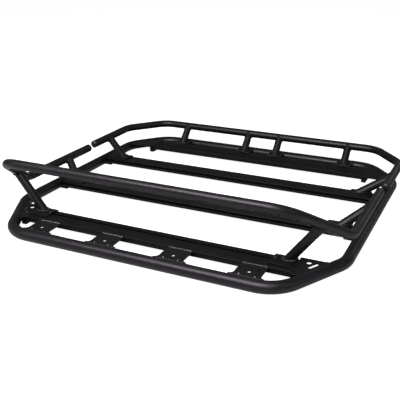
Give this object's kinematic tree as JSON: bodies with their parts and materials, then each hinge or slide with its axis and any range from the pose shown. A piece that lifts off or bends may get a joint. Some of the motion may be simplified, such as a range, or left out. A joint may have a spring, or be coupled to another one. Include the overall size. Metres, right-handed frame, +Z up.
{
  "type": "flat platform roof rack",
  "caption": "Flat platform roof rack for a vehicle: bent black steel tube frame, slotted cross planks, low side rails and a raised front bar",
  "frame": {"origin": "middle of the rack's box, on the ground plane that the lower ring rests on", "axes": "+X across the vehicle to its right when seen from the front bar side, -Y towards the raised front bar, +Z up"},
  "size_m": [1.3698, 1.2952, 0.2918],
  "materials": {
    "frame_black": "satin black powder coat on steel tube and sheet",
    "plank_black": "matte black powder coat on extruded aluminium"
  },
  "bodies": {
    "root": {"ring_front": "frame_black", "ring_rear": "frame_black", "ring_left": "frame_black", "ring_right": "frame_black", "front_rail": "frame_black", "rear_rail": "frame_black", "plank_front": "plank_black", "plank_mid_front": "plank_black", "plank_mid_rear": "plank_black", "plank_rear": "plank_black", "tab_front_1": "frame_black", "tab_front_2": "frame_black", "tab_front_3": "frame_black", "tab_front_4": "frame_black", "corner_front_left": "frame_black", "corner_front_right": "frame_black", "corner_rear_left": "frame_black", "corner_rear_right": "frame_black", "tab_rear_1": "frame_black", "tab_rear_2": "frame_black", "tab_rear_3": "frame_black", "tab_rear_4": "frame_black", "post_front_left": "frame_black", "post_front_right": "frame_black", "post_mid_left": "frame_black", "post_mid_right": "frame_black", "post_back_left": "frame_black", "post_back_right": "frame_black", "post_rear_1": "frame_black", "post_rear_2": "frame_black", "post_rear_3": "frame_black", "post_rear_4": "frame_black", "saddle_front_left": "frame_black", "saddle_front_right": "frame_black", "saddle_mid_left": "frame_black", "saddle_mid_right": "frame_black", "saddle_back_left": "frame_black", "saddle_back_right": "frame_black", "shoe_mid_left": "frame_black", "shoe_mid_right": "frame_black", "shoe_back_left": "frame_black", "shoe_back_right": "frame_black"}
  },
  "joints": []
}
